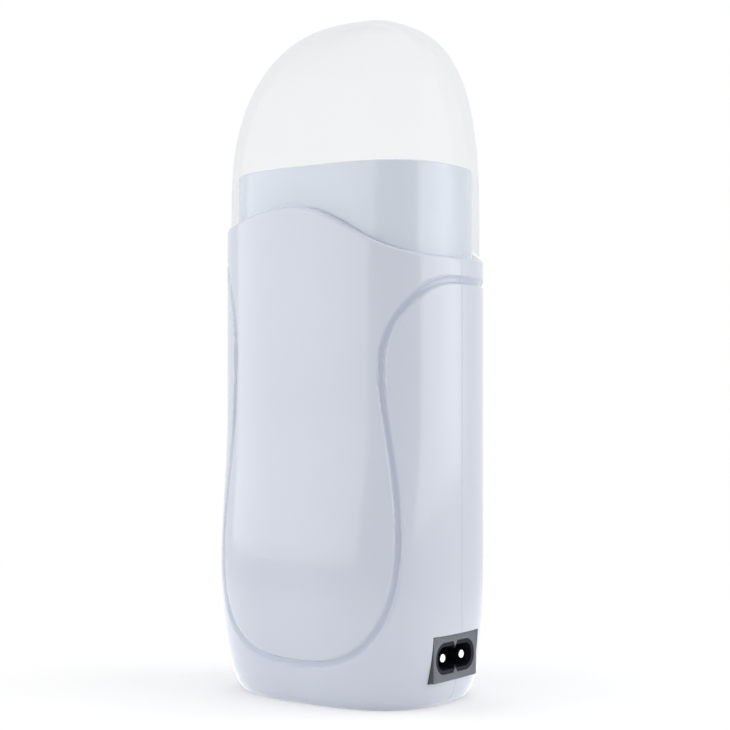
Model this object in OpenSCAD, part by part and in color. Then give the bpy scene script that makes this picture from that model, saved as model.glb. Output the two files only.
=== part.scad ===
// Roll-on wax heater: a two-part housing round a heated cartridge pocket, with a clear domed
// cap and a two-pin mains inlet. Millimetres, +Z up. The origin is the middle of the base:
// the front looks along -Y and the mains inlet is on the +X side.

/* [Cartridge pocket] */
// Width of the wax cartridge that the pocket takes
cartridge_width = 54; // [50:0.5:58]
// Depth of the cartridge, front to rear
cartridge_depth = 33; // [30:0.5:36]
// Radius of the cartridge's upright corners
cartridge_corner = 9; // [8:0.5:11]
// Play between the cartridge and the pocket on each side
cartridge_play = 0.4; // [0.2:0.1:0.8]
// Thickness of the pocket's upright walls
pocket_wall = 1.4; // [1.2:0.1:1.6]
// Thickness of the pocket's floor
pocket_floor = 1.6; // [1.2:0.1:2.4]
// Depth of the pocket, from its floor up to the rim
pocket_depth = 112.6; // [108:0.2:124]
// How far the pocket sits in front of the middle, to leave room for the heater
pocket_forward = 1; // [0.6:0.1:1.2]

/* [Collar and cap] */
// Ring width from the pocket's outside to the collar's outside, at the narrow sides
collar_side = 3.2; // [3:0.1:4]
// The same at the front and the rear
collar_front = 3.45; // [3.2:0.05:4]
// Squareness of the collar's outline: 2 is an ellipse, more is squarer
collar_power = 2.95; // [2.8:0.05:3.3]
// Thickness of the collar's skirt
collar_wall = 1.6; // [1.2:0.1:1.8]
// Thickness of the ring that closes the collar at the rim
rim_thickness = 1.8; // [1.2:0.1:3]
// Wall of the clear cap
cap_wall = 1.3; // [1:0.1:1.5]
// Clearance between the cap and the collar
cap_gap = 0.5; // [0.4:0.05:0.6]
// Gap between the cap's lower edge and the shoulder
cap_seat_gap = 0.25; // [0.15:0.05:0.4]
// Height of the cap's top above the rim
cap_rise = 39.8; // [36:0.2:50]
// Height below the rim at which the dome starts to close in
dome_start = 12; // [8:0.5:13]
// Squareness of the dome's profile
dome_power = 2.6; // [2.4:0.05:2.8]
// How far the top of the dome leans towards the inlet side
dome_lean = 4; // [0:0.2:4.4]

/* [Housing] */
// Ledge from the collar to the outer skin, at the narrow sides
shoulder_side = 2.8; // [2.6:0.1:4]
// The same at the front and the rear
shoulder_front = 3.85; // [3.6:0.05:5]
// Squareness of the housing's outline
housing_power = 2.75; // [2.65:0.05:3]
// Wall of both shells
wall = 2; // [1.8:0.1:2.2]
// Thickness of the inward lip under the shoulder
lip = 2; // [1.6:0.1:3]
// Radius of the shoulder's outer edge
shoulder_edge = 1; // [0.4:0.1:1.2]
// Clearance between the lip and the collar
collar_fit = 0.15; // [0.1:0.05:0.25]
// How much of the collar shows at the inlet side, where the shoulder is lowest
collar_show_low = 24; // [22:0.1:28]
// How much of it shows at the crest of the shoulder
collar_show_crest = 10.7; // [9.5:0.1:14]
// How much of it shows at the narrow side away from the inlet
collar_show_far = 14.6; // [12:0.1:18]
// Place of the crest, measured from the middle towards the inlet
crest_x = -1.2; // [-6:0.1:6]
// Distance from the middle at which the shoulder turns level towards the inlet
level_x = 36; // [33:0.1:37]
// Room under the pocket for the inlet and its wiring
bay_height = 22.4; // [22:0.2:28]
// Swelling of the front low down, where the palm holds it
belly = 3.6; // [1:0.1:5]
// Height of the fullest part of the swelling
belly_height = 33; // [30:1:38]
// Height over which the swelling fades, up and down
belly_reach = 42; // [38:1:46]
// How far the base is drawn in at the narrow sides
base_inset_side = 5.8; // [4:0.1:6]
// The same at the front and the rear
base_inset_front = 4.3; // [3:0.1:5]
// Height of the rounding round the base
base_rounding = 24; // [20:0.5:26]

/* [Recessed line round the front panel] */
// Width of the line
groove_width = 2.3; // [1.6:0.1:3]
// Depth of the line
groove_depth = 0.7; // [0.4:0.1:1]
// Height of the panel's lower end
groove_bottom = 11.1; // [9:0.1:14]
// Distance of the line below the shoulder, at the inlet side
groove_below_low = 5.8; // [4:0.1:7]
// The same at the other narrow side
groove_below_far = 4.4; // [4:0.1:7]
// Height of the panel's waist, at the inlet side
waist_low_z = 86.5; // [84:0.5:90]
// The same at the other narrow side
waist_far_z = 90; // [86:0.5:94]
// Turn of the line at its waist, in degrees round from the inlet side
waist_low_turn = 51.2; // [48:0.1:55]
// The same towards the other narrow side
waist_far_turn = 117.9; // [114:0.1:121]
// Height of the panel's widest place, at the inlet side
wide_low_z = 41; // [38:0.5:44]
// The same at the other narrow side
wide_far_z = 43; // [40:0.5:46]
// Turn of the line at its widest place, at the inlet side
wide_low_turn = 37.8; // [36:0.1:41]
// The same towards the other narrow side
wide_far_turn = 130.7; // [127:0.1:134]
// Turn of the panel's lower end
groove_bottom_turn = 87; // [80:1:100]
// Squareness of the line's bend by the inlet side, at the rear: 2 is an ellipse
groove_rear_power = 4.5; // [3:0.5:5]

/* [Mains inlet] */
// Width of the grey frame
inlet_width = 19.7; // [19:0.1:21]
// Height of the grey frame
inlet_height = 11.7; // [11:0.1:12.5]
// Height of the frame's lower edge above the base
inlet_bottom = 6.8; // [6.6:0.1:7.4]
// How far the inlet sits in front of the parting line
inlet_forward = 1.2; // [0.8:0.1:1.4]
// Distance of the frame's face inside the housing's widest place
inlet_recess = 1.2; // [0.9:0.1:1.7]
// Length of the frame behind its face
inlet_frame_depth = 4.9; // [4.5:0.1:5.3]
// Length of the socket, from its face to its back
inlet_depth = 16.6; // [16:0.1:17]
// Width of the figure-8 opening
socket_width = 17.4; // [17:0.1:18]
// Height of the figure-8 opening
socket_height = 8; // [7.8:0.1:8.6]
// Corner radius of the figure-8 opening
socket_corner = 3.8; // [3:0.1:4.2]
// Depth of the two notches that make it a figure 8
notch_depth = 1.3; // [1:0.1:1.6]
// Width of the notches
notch_width = 1.8; // [1.4:0.1:2.2]
// Rim of the socket inside the frame
socket_rim = 1; // [0.8:0.1:1.2]
// Depth of the socket
socket_depth = 12; // [11.5:0.1:12.5]
// Spacing of the two pins
pin_pitch = 8.6; // [8.4:0.1:8.8]
// Diameter of the pins
pin_d = 2.4; // [2.2:0.05:2.5]
// Distance of the pins' tips behind the face
pin_recess = 0.6; // [0.4:0.1:2]
// Length of the pins' rounded ends
pin_nose = 0.6; // [0.4:0.1:1]
// Thickening of the pins where they pass through the socket's floor
pin_collar = 0.2; // [0.1:0.05:0.3]
// Gap round the frame in the housing's window
inlet_fit = 0.15; // [0.1:0.05:0.25]

/* [Heater] */
// Width of the aluminium plate's heating face
plate_width = 33.6; // [31:0.2:34]
// Height of the aluminium plate's heating face
plate_height = 62; // [60:0.5:70]
// Height of the heating face's lower edge above the pocket's floor
plate_above_floor = 12; // [10:0.5:14]
// Thickness of the plate's flange behind the pocket wall
flange_thickness = 1.2; // [1:0.1:1.4]
// Overlap of the flange round the window in the pocket
flange_overlap = 1.3; // [1:0.1:1.4]
// Gap round the heating face in its window
plate_fit = 0.2; // [0.1:0.05:0.3]
// Width of a heating stone
stone_width = 20; // [18:0.5:21]
// Height of a heating stone
stone_height = 16; // [14:0.5:17]
// Thickness of a heating stone
stone_thickness = 2; // [1.6:0.1:2.1]
// Gap between the two stones
stone_gap = 2; // [1:0.5:3]
// Thickness of the two electrodes
electrode_thickness = 0.3; // [0.2:0.05:0.4]
// Thickness of the insulating films
film_thickness = 0.15; // [0.1:0.05:0.2]
// Thickness of the bridge that clamps the stack
bridge_thickness = 0.8; // [0.6:0.1:0.9]
// Diameter of the thermal fuse
fuse_d = 3.2; // [3:0.1:3.4]
// Length of the thermal fuse
fuse_length = 9.5; // [8:0.5:10]
// Wall of the sleeve over the fuse
fuse_sleeve_wall = 0.3; // [0.2:0.05:0.4]

/* [Fasteners and wires] */
// Place of the housing screw away from the inlet, along X
screw_far_x = -24; // [-24.5:0.5:-22]
// Place of the housing screw nearer the inlet
screw_near_x = -4; // [-7:0.5:-4]
// Height of the housing screws
screw_z = 17; // [16:0.5:18]
// Shank diameter of the housing screws
screw_d = 2.9; // [2.6:0.1:3]
// Length of the housing screws under the head
screw_length = 18; // [15:0.5:18]
// Head diameter of the housing screws
screw_head_d = 5.5; // [5:0.1:5.6]
// Shank diameter of the small heater screws
small_screw_d = 2; // [1.8:0.1:2.2]
// Diameter of the wires
wire_d = 1.6; // [1.4:0.1:1.7]

/* [Hidden] */

SMOOTH = 48;
// Steps round half of an outline
HALF_STEPS = 32;
FRONT = -1;
REAR = 1;
touch = 0.02;

// Half sizes of the pocket, the collar, the cap and the housing
pocket_x = cartridge_width / 2 + cartridge_play;
pocket_y = cartridge_depth / 2 + cartridge_play;
pocket_corner = cartridge_corner + cartridge_play;
collar_x = pocket_x + pocket_wall + collar_side;
collar_y = pocket_y + pocket_wall + collar_front;
cap_x = collar_x + cap_gap + cap_wall;
cap_y = collar_y + cap_gap + cap_wall;
housing_x = collar_x + shoulder_side;
housing_y = collar_y + shoulder_front;

// Heights
pocket_base_z = wall + bay_height;
floor_z = pocket_base_z + pocket_floor;
rim_z = floor_z + pocket_depth;
shoulder_low_z = rim_z - collar_show_low;
shoulder_crest_z = rim_z - collar_show_crest;
shoulder_far_z = rim_z - collar_show_far;
dome_z = rim_z - dome_start;
cap_top_z = rim_z + cap_rise;

// The skirt hangs below the lowest shoulder and rests on ledges in the shells
skirt_hang = 6;
skirt_z = shoulder_low_z - lip - skirt_hang;
tab_height = 2;
tab_out = 1.3;
tab_width = 10;
ledge_width = 12;
ledge_height = 3;
ledge_play = 0.2;

// Rear face of the pocket and the layers behind it
pocket_rear_y = pocket_y + pocket_wall - pocket_forward;
flange_y = pocket_rear_y + flange_thickness;
inner_film_y = flange_y;
inner_electrode_y = inner_film_y + film_thickness;
stone_y = inner_electrode_y + electrode_thickness;
outer_electrode_y = stone_y + stone_thickness;
outer_film_y = outer_electrode_y + electrode_thickness;
bridge_y = outer_film_y + film_thickness;
plate_z = floor_z + plate_above_floor;
// The fuse lies near the plate's lower edge, and the stones in the middle of what is left
fuse_above_edge = 6;
fuse_z = plate_z + fuse_above_edge;
stack_z = (fuse_z + plate_z + plate_height) / 2;
stack_height = 2 * stone_height + stone_gap;
electrode_margin = 1;
film_margin = 2;
electrode_tab_width = 4;
electrode_tab_length = 5;
electrode_tab_x = 7;

// Fuse, across the plate under the stack
fuse_play = 0.05;
sleeve_r = fuse_d / 2 + fuse_play + fuse_sleeve_wall;
fuse_y = flange_y + sleeve_r + touch;
fuse_sleeve_over = 1.2;
fuse_lead_d = 0.8;
crimp_x = 8;
crimp_length = 5;
crimp_r = 1.1;

// Small screws
small_head_d = 3.8;
small_head_height = 1.3;
small_bite = 2.1;
small_screw_play = 0.1;
clip_thickness = 0.4;
clip_width = 5;
clip_foot = 3.6;
bridge_gap = 0.2;
head_room = 0.3;
bridge_foot = 4.4;
bridge_height = 28;

// Mains inlet, along X
face_x = housing_x - inlet_recess;
frame_back_x = face_x - inlet_frame_depth;
inlet_back_x = face_x - inlet_depth;
socket_floor_x = face_x - socket_depth;
inlet_z = inlet_bottom + inlet_height / 2;
inlet_y = -inlet_forward;
inlet_flange_width = 25;
inlet_flange_height = 14.4;
inlet_flange_thickness = 2;
inlet_flange_behind = 4.5;
inlet_flange_x = frame_back_x - inlet_flange_behind;
inlet_rib_thickness = 1.7;
inlet_rib_play = 0.1;
inlet_rib_width = 5;
window_behind = 1.7;
frame_corner = 0.6;
socket_block_inset = 0.4;
socket_fit = 0.05;
socket_set_back = 0.2;

// Blades behind the pins and the receptacles on them
blade_length = 6.8;
blade_width = 4.8;
blade_thickness = 0.8;
terminal_length = 7.2;
terminal_wall = 0.6;
terminal_play = 0.1;
terminal_gap = 0.6;
barrel_length = 4;
barrel_r = 1.5;
terminal_x = inlet_back_x - terminal_gap - terminal_length;
barrel_x = terminal_x - barrel_length;

// Housing screws: the head sits in a well in the rear shell
screw_x = [screw_far_x, screw_near_x];
screw_seat_y = 8;
screw_head_height = 2;
front_boss_r = 3.3;
rear_boss_r = 4.3;
screw_play = 0.15;
well_play = 0.35;

// Posts under the pocket and tongues across the parting line
post_x = 21;
post_y = 11.2;
post_size = [2, 3.5];
tongue_z = [52, 92];
tongue_height = 12;
tongue_thickness = 1.3;
tongue_reach = 3;
tongue_root = 5;
tongue_play = 0.2;

// ---- Outlines and skins -------------------------------------------------------------------

function power_of(c, power) = sign(c) * pow(abs(c), 2 / power);

// Point of an oval outline; turn is 0 at the inlet side and 90 at the rear
function outline(turn, x, y, power) = [x * power_of(cos(turn), power),
                                       y * power_of(sin(turn), power)];

function ease(t) = t <= 0 ? 0 : t >= 1 ? 1 : t * t * (3 - 2 * t);

// Height of the wavy shoulder
function shoulder(turn) =
    let (x = housing_x * power_of(cos(turn), housing_power))
    x > crest_x
    ? shoulder_crest_z
        - (shoulder_crest_z - shoulder_low_z) * ease((x - crest_x) / (level_x - crest_x))
    : shoulder_crest_z
        - (shoulder_crest_z - shoulder_far_z) * ease((crest_x - x) / (housing_x + crest_x));

// How far the base rounding has drawn the skin in, from 1 at the base to 0
function drawn_in(z) = z < base_rounding
    ? 1 - sqrt(1 - pow(1 - max(z, 0) / base_rounding, 2)) : 0;

function swelling(turn, z) = sin(turn) < 0 && abs(z - belly_height) < belly_reach
    ? belly * pow(cos(90 * (z - belly_height) / belly_reach), 2) : 0;

// Point of the housing's skin, a distance inside the outer one
function skin(turn, z, inside) =
    let (outer_z = z < base_rounding
             ? base_rounding * (z - inside) / (base_rounding - inside) : z,
         x = housing_x - base_inset_side * drawn_in(outer_z) - inside,
         y = housing_y + swelling(turn, z) - base_inset_front * drawn_in(outer_z) - inside,
         p = outline(turn, x, y, housing_power))
    [p[0], p[1], z];

// Half sizes of the cap's dome at a height, as a share of those at its start
function dome(z, start, top) = z <= start ? 1
    : z >= top ? 0 : pow(1 - pow((z - start) / (top - start), dome_power), 1 / dome_power);

// Shift of the dome towards the inlet side at a height; none up to the rim, which it clears
function lean(z) = z <= rim_z ? 0 : dome_lean * pow((z - rim_z) / cap_rise, 2);

// Solid through a stack of rings with equal counts of points; the end rings are flat.
// Half rings have one flat face from their first points to their last ones.
module loft(rings, halves = false) {
    n = len(rings[0]);
    last = len(rings) - 1;
    last_side = halves ? n - 2 : n - 1;
    polyhedron(
        points = [for (ring = rings) each ring],
        faces = concat(
            [[for (j = [0:n - 1]) j]],
            [[for (j = [n - 1:-1:0]) last * n + j]],
            [for (i = [0:last - 1], j = [0:last_side])
                let (k = (j + 1) % n) [i * n + j, (i + 1) * n + j, (i + 1) * n + k]],
            [for (i = [0:last - 1], j = [0:last_side])
                let (k = (j + 1) % n) [i * n + j, (i + 1) * n + k, i * n + k]],
            halves ? [concat([for (i = [0:last]) i * n + n - 1], [for (i = [last:-1:0]) i * n])]
                : []),
        convexity = 8);
}

module rounded_rect(w, h, r) {
    square([w - 2 * r, h], center = true);
    square([w, h - 2 * r], center = true);
    for (x = [-1, 1], y = [-1, 1])
        translate([x * (w / 2 - r), y * (h / 2 - r)]) circle(r = r, $fn = SMOOTH);
}

// Box from its low corner to its high corner
module box(low, high) {
    translate(low) cube(high - low);
}

// Cylinder along +Y from y0 to y1, through a point of the XZ plane
module rod_y(x, z, y0, y1, r) {
    translate([x, y0, z]) rotate([-90, 0, 0]) cylinder(h = y1 - y0, r = r, $fn = SMOOTH);
}

// Cylinder along +X
module rod_x(y, z, x0, x1, r) {
    translate([x0, y, z]) rotate([0, 90, 0]) cylinder(h = x1 - x0, r = r, $fn = SMOOTH);
}

// ---- Housing shells -----------------------------------------------------------------------

// Rows of the outer skin: heights that are level, then rows that follow the shoulder
ROUNDING_ROWS = 7;
BELLY_ROWS = 6;
SHOULDER_ROWS = 4;
EDGE_ROWS = 3;
belly_top_z = belly_height + belly_reach;

level_rows = concat(
    [for (i = [0:ROUNDING_ROWS]) base_rounding * (1 - cos(90 * i / ROUNDING_ROWS))],
    [for (i = [1:BELLY_ROWS])
        base_rounding + (belly_top_z - base_rounding) * i / BELLY_ROWS]);

function half_turns(side) = [for (j = [0:HALF_STEPS])
    (side == REAR ? 0 : 180) + 180 * j / HALF_STEPS];
function all_turns() = [for (j = [0:2 * HALF_STEPS - 1]) 180 * j / HALF_STEPS];

// One half of the housing, not yet hollow
module half_block(side) {
    turns = half_turns(side);
    top = shoulder_crest_z + 3; // above every part of the ledge
    loft(concat(
        [for (z = level_rows) [for (t = turns) skin(t, z, 0)]],
        [for (i = [1:SHOULDER_ROWS]) [for (t = turns)
            skin(t, belly_top_z
                + (shoulder(t) - shoulder_edge - belly_top_z) * i / SHOULDER_ROWS, 0)]],
        [for (i = [1:EDGE_ROWS]) [for (t = turns)
            skin(t, shoulder(t) - shoulder_edge * (1 - sin(90 * i / EDGE_ROWS)),
                shoulder_edge * (1 - cos(90 * i / EDGE_ROWS)))]],
        [[for (t = turns) concat(outline(t, collar_x - 1, collar_y - 1, collar_power),
            shoulder(t))]],
        [[for (t = turns) concat(outline(t, collar_x - 1, collar_y - 1, collar_power),
            top)]]), halves = true);
}

// The room inside both halves, and the hole through the lip for the collar
module cavity() {
    turns = all_turns();
    x = collar_x + collar_fit;
    y = collar_y + collar_fit;
    loft(concat(
        [for (i = [0:4]) let (z = wall + (base_rounding - wall) * (1 - cos(90 * i / 4)))
            [for (t = turns) skin(t, z, wall)]],
        [for (i = [1:4]) let (z = base_rounding + (belly_top_z - base_rounding) * i / 4)
            [for (t = turns) skin(t, z, wall)]],
        [[for (t = turns) skin(t, shoulder(t) - lip, wall)]],
        [[for (t = turns) concat(outline(t, x, y, collar_power), shoulder(t) - lip)]],
        [[for (t = turns) concat(outline(t, x, y, collar_power), shoulder_crest_z + 5)]]));
}

// Ribs and ledges of one half, as they lie in the rear one; the front half is mirrored
module inner_ribs(side) {
    for (x = [-post_x, post_x])
        box([x - post_size[0] / 2, post_y, 0],
            [x + post_size[0] / 2, post_y + post_size[1], pocket_base_z]);
    box([-ledge_width / 2, collar_y - collar_wall, skirt_z - ledge_height],
        [ledge_width / 2, housing_y, skirt_z]);
    box([-ledge_width / 2, collar_y + 2 * ledge_play, skirt_z + tab_height + ledge_play],
        [ledge_width / 2, housing_y, skirt_z + tab_height + ledge_play + ledge_height]);
    rib_y = inlet_width / 2 + inlet_fit + touch + side * inlet_y;
    for (x = [inlet_flange_x + inlet_flange_thickness + inlet_rib_play,
              inlet_flange_x - inlet_rib_play - inlet_rib_thickness])
        box([x, rib_y, 0],
            [x + inlet_rib_thickness, rib_y + inlet_rib_width,
             inlet_z + inlet_flange_height / 2]);
}

module bosses(side) {
    for (x = screw_x)
        if (side == REAR) rod_y(x, screw_z, 0, housing_y + belly, rear_boss_r);
        else rod_y(x, screw_z, -housing_y - belly, 0, front_boss_r);
}

module screw_holes(side) {
    for (x = screw_x)
        if (side == REAR) {
            rod_y(x, screw_z, -1, housing_y, screw_d / 2 + screw_play);
            rod_y(x, screw_z, screw_seat_y, housing_y + 1, screw_head_d / 2 + well_play);
        } else {
            rod_y(x, screw_z, screw_seat_y - screw_length - 1, 1, screw_d / 2 + touch);
        }
}

// The window that the inlet's frame shows through
module inlet_window() {
    w = inlet_width / 2 + inlet_fit;
    h = inlet_height / 2 + inlet_fit;
    box([frame_back_x - window_behind, inlet_y - w, inlet_z - h],
        [housing_x + 1, inlet_y + w, inlet_z + h]);
}

// ---- The recessed line --------------------------------------------------------------------

// Quarter of an oval from a place where the line is upright to one where it is level
function quarter(a, b, power, steps) = [for (i = [0:steps]) let (t = 90 * i / steps)
    [b[0] + (a[0] - b[0]) * power_of(cos(t), power),
     a[1] + (b[1] - a[1]) * power_of(sin(t), power)]];

// S between two places where the line is upright
function sway(a, b, steps) = [for (i = [1:steps - 1]) let (t = i / steps)
    [a[0] + (b[0] - a[0]) * (1 - cos(180 * t)) / 2, a[1] + (b[1] - a[1]) * t]];

function reversed(list) = [for (i = [len(list) - 1:-1:0]) list[i]];

waist_low = [waist_low_turn, waist_low_z];
waist_far = [waist_far_turn, waist_far_z];
wide_low = [wide_low_turn, wide_low_z];
wide_far = [wide_far_turn, wide_far_z];
bottom_end = [groove_bottom_turn, groove_bottom];

// Turn and height of points along the line, from the inlet side to the other side
function groove_path(side) = concat(
    reversed(quarter(waist_low, [0, shoulder_low_z - groove_below_low],
        side == REAR ? groove_rear_power : 2, 14)),
    sway(waist_low, wide_low, 9),
    quarter(wide_low, bottom_end, 2, 14),
    [for (i = [1:14]) reversed(quarter(wide_far, bottom_end, 2.2, 14))[i]],
    sway(wide_far, waist_far, 9),
    quarter(waist_far, [180, shoulder_far_z - groove_below_far], 2.3, 14));

// Cutter along the line: a V-shaped channel swept over the skin
module groove_cutter(side) {
    path = groove_path(side);
    n = len(path);
    at = [for (p = path) skin(side * p[0], p[1], 0)];
    step = 0.5;
    rings = [for (i = [0:n - 1])
        let (p = path[i],
             along = at[min(i + 1, n - 1)] - at[max(i - 1, 0)],
             up = skin(side * p[0], p[1] + step, 0) - skin(side * p[0], p[1] - step, 0),
             round_turn = p[0] < 90 ? p[0] + 1 : p[0] - 1,
             across = skin(side * round_turn, p[1], 0) - at[i],
             raw = cross(across, up),
             out = (raw * [at[i][0], at[i][1], 0] > 0 ? 1 : -1) * raw / norm(raw),
             flat = i == 0 || i == n - 1,
             dir = flat ? [0, side * (i == 0 ? 1 : -1), 0] : along / norm(along),
             width_raw = cross(out, dir),
             wide = width_raw / norm(width_raw) * groove_width / 2,
             shift = i == 0 ? -dir * 2 : flat ? dir * 2 : [0, 0, 0])
        [at[i] + shift - wide * 1.25 + out * groove_depth * 0.5,
         at[i] + shift - wide * 0.5 - out * groove_depth,
         at[i] + shift + wide * 0.5 - out * groove_depth,
         at[i] + shift + wide * 1.25 + out * groove_depth * 0.5]];
    loft(rings);
}

module shell(side) {
    difference() {
        half_block(side);
        difference() {
            cavity();
            if (side == REAR) inner_ribs(side);
            else mirror([0, 1, 0]) inner_ribs(side);
            bosses(side);
        }
        inlet_window();
        screw_holes(side);
        groove_cutter(side);
    }
}

// Tongues on the front shell that reach across the parting line behind the rear one
module tongues() {
    outer = housing_x - wall - tongue_play;
    for (x = [-1, 1], z = tongue_z) {
        low = x > 0 ? outer - tongue_thickness : -outer;
        box([low, -tongue_root, z], [low + tongue_thickness, tongue_reach, z + tongue_height]);
        root = x > 0 ? outer - tongue_thickness : -outer - 1;
        box([root, -tongue_root, z], [root + tongue_thickness + 1, -0.5, z + tongue_height]);
    }
}

module front_shell() color([0.86, 0.87, 0.92]) {
    shell(FRONT);
    tongues();
}

module rear_shell() color([0.84, 0.86, 0.91]) shell(REAR);

// ---- Pocket and cap -----------------------------------------------------------------------

module collar_outline(inside) {
    polygon([for (t = all_turns())
        outline(t, collar_x - inside, collar_y - inside, collar_power)]);
}

module cartridge_sleeve() color([0.87, 0.89, 0.93])
difference() {
    union() {
        difference() {
            translate([0, 0, skirt_z]) linear_extrude(rim_z - skirt_z) collar_outline(0);
            translate([0, 0, skirt_z - 1])
                linear_extrude(rim_z - rim_thickness - skirt_z + 1)
                    collar_outline(collar_wall);
        }
        translate([0, -pocket_forward, pocket_base_z])
            linear_extrude(rim_z - pocket_base_z)
                rounded_rect(2 * (pocket_x + pocket_wall), 2 * (pocket_y + pocket_wall),
                    pocket_corner + pocket_wall);
        for (side = [0, 1]) mirror([0, side, 0])
            box([-tab_width / 2, collar_y - collar_wall / 2, skirt_z],
                [tab_width / 2, collar_y + tab_out, skirt_z + tab_height]);
    }
    translate([0, -pocket_forward, floor_z]) linear_extrude(pocket_depth + 1)
        rounded_rect(2 * pocket_x, 2 * pocket_y, pocket_corner);
    w = plate_width / 2 + plate_fit;
    box([-w, 0, plate_z - plate_fit], [w, pocket_rear_y + 1, plate_z + plate_height + plate_fit]);
}

DOME_ROWS = 14;
// Spare length under the cap's edge, which the wavy cut takes off
cap_blank = 3;

module clear_cap() color([0.93, 0.95, 0.98, 0.35]) {
    turns = all_turns();
    inner_x = cap_x - cap_wall;
    inner_y = cap_y - cap_wall;
    inner_top = cap_top_z - cap_wall;
    edge = function (t) shoulder(t) + cap_seat_gap;
    outer = [for (i = [0:DOME_ROWS]) let (a = 90 * i / DOME_ROWS)
        dome_z + (cap_top_z - dome_z) * pow(sin(a), 2 / dome_power)];
    inner = [for (i = [0:DOME_ROWS]) let (a = 90 * i / DOME_ROWS)
        dome_z + (inner_top - dome_z) * pow(sin(a), 2 / dome_power)];
    ring = function (z, x, y, top) let (s = max(dome(z, dome_z, top), 0.02))
        [for (t = turns) concat(outline(t, x * s, y * s, collar_power) + [lean(z), 0], z)];
    difference() {
        loft(concat(
            [[for (t = turns) concat(outline(t, cap_x, cap_y, collar_power),
                shoulder_low_z - cap_blank)]],
            [for (z = outer) ring(z, cap_x, cap_y, cap_top_z)]));
        loft(concat(
            [[for (t = turns) concat(outline(t, inner_x, inner_y, collar_power),
                shoulder_low_z - 3 * cap_blank)]],
            [for (z = inner) ring(z, inner_x, inner_y, inner_top)]));
        // Everything below the wavy edge
        loft([
            [for (t = turns) concat(outline(t, cap_x + 4, cap_y + 4, collar_power),
                shoulder_low_z - 4 * cap_blank)],
            [for (t = turns) concat(outline(t, cap_x + 4, cap_y + 4, collar_power), edge(t))],
            [for (t = turns) concat(outline(t, inner_x - 4, inner_y - 4, collar_power),
                edge(t))],
            [for (t = turns) concat(outline(t, inner_x - 4, inner_y - 4, collar_power),
                shoulder_low_z - 2 * cap_blank)]]);
    }
}

// ---- Heater -------------------------------------------------------------------------------

module heater_plate() color([0.78, 0.79, 0.8])
difference() {
    union() {
        box([-plate_width / 2, pocket_y - pocket_forward, plate_z],
            [plate_width / 2, pocket_rear_y + touch, plate_z + plate_height]);
        w = plate_width / 2 + flange_overlap;
        box([-w, pocket_rear_y, plate_z - flange_overlap - plate_fit],
            [w, flange_y, plate_z + plate_height + flange_overlap + plate_fit]);
    }
    for (p = small_screw_places)
        rod_y(p[0], p[1], flange_y - small_bite, flange_y + 1, small_screw_d / 2);
}

// A sheet as wide and high as the stack with a margin
module sheet(y, thickness, margin) {
    box([-stone_width / 2 - margin, y, stack_z - stack_height / 2 - margin],
        [stone_width / 2 + margin, y + thickness, stack_z + stack_height / 2 + margin]);
}

module electrode(y, tab_x) {
    sheet(y, electrode_thickness, electrode_margin);
    bottom = stack_z - stack_height / 2;
    box([tab_x - electrode_tab_width / 2, y, bottom - electrode_margin - electrode_tab_length],
        [tab_x + electrode_tab_width / 2, y + electrode_thickness, bottom]);
}

module inner_insulator() color([0.85, 0.6, 0.2]) sheet(inner_film_y, film_thickness, film_margin);

module inner_electrode() color([0.8, 0.7, 0.4]) electrode(inner_electrode_y, -electrode_tab_x);

module ptc_stones() color([0.25, 0.25, 0.27])
for (s = [-1, 1]) {
    z = stack_z + s * (stone_height + stone_gap) / 2;
    box([-stone_width / 2, stone_y, z - stone_height / 2],
        [stone_width / 2, stone_y + stone_thickness, z + stone_height / 2]);
}

module outer_electrode() color([0.8, 0.7, 0.4]) electrode(outer_electrode_y, electrode_tab_x);

module outer_insulator() color([0.85, 0.6, 0.2]) sheet(outer_film_y, film_thickness, film_margin);

bridge_inner_x = stone_width / 2 + film_margin + bridge_gap;
bridge_screw_x = bridge_inner_x + bridge_thickness + small_head_d / 2 + head_room;
clip_r = sleeve_r + 2 * touch;
clip_screw_z = fuse_z - clip_r - clip_thickness - small_head_d / 2 - head_room;
small_screw_places = [[-bridge_screw_x, stack_z], [bridge_screw_x, stack_z],
                      [0, clip_screw_z]];

module clamp_bridge() color([0.7, 0.71, 0.72])
difference() {
    low = stack_z - bridge_height / 2;
    high = stack_z + bridge_height / 2;
    union() {
        box([-bridge_inner_x - bridge_thickness, bridge_y, low],
            [bridge_inner_x + bridge_thickness, bridge_y + bridge_thickness, high]);
        for (s = [0, 1]) mirror([s, 0, 0]) {
            box([bridge_inner_x, flange_y, low],
                [bridge_inner_x + bridge_thickness, bridge_y + touch, high]);
            box([bridge_inner_x, flange_y, low],
                [bridge_inner_x + bridge_thickness + bridge_foot,
                 flange_y + bridge_thickness, high]);
        }
    }
    for (s = [-1, 1])
        rod_y(s * bridge_screw_x, stack_z, flange_y - 1, flange_y + bridge_thickness + 0.5,
            small_screw_d / 2 + small_screw_play);
}

module thermal_fuse() color([0.75, 0.72, 0.62]) {
    rod_x(fuse_y, fuse_z, -fuse_length / 2, fuse_length / 2, fuse_d / 2);
    rod_x(fuse_y, fuse_z, -crimp_x - crimp_length / 2, crimp_x + crimp_length / 2,
        fuse_lead_d / 2);
}

module fuse_sleeve() color([0.9, 0.9, 0.85])
difference() {
    rod_x(fuse_y, fuse_z, -fuse_length / 2 - fuse_sleeve_over,
        fuse_length / 2 + fuse_sleeve_over, sleeve_r);
    rod_x(fuse_y, fuse_z, -fuse_length, fuse_length, sleeve_r - fuse_sleeve_wall);
}

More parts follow.
